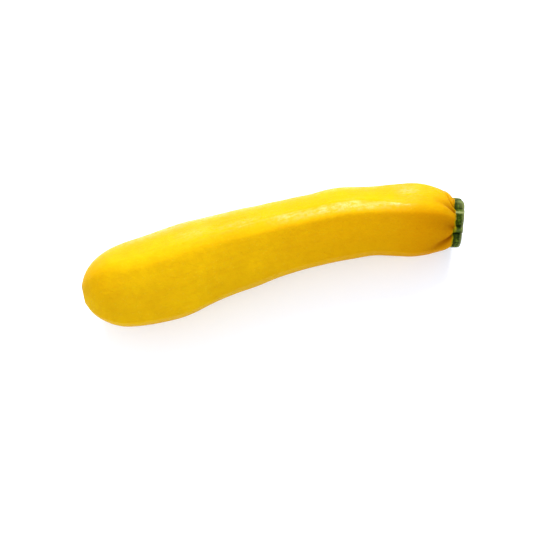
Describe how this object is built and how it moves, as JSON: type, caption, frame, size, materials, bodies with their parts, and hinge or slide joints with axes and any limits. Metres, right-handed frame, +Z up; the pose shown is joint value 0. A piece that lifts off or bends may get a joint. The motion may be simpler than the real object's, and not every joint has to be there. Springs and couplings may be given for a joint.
{
  "type": "yellow zucchini",
  "caption": "Whole yellow zucchini, bowed and softly ridged, with a blunt blossom end and a short cut green stem, lying on its side.",
  "frame": {"origin": "on the table, under the middle of the fruit's box as it lies", "axes": "+X along the fruit from the blossom end to the stem, +Y towards the outer side of its bow, +Z up from the table"},
  "size_m": [0.2004, 0.051, 0.0457],
  "materials": {
    "skin": "waxy golden-yellow rind with a soft gloss, fine pale pores and faint lengthwise streaks",
    "stem": "ribbed dark green stem with paler ribs and a dried, pale cut face"
  },
  "bodies": {
    "root": {"fruit": "skin", "stem": "stem"}
  },
  "joints": []
}
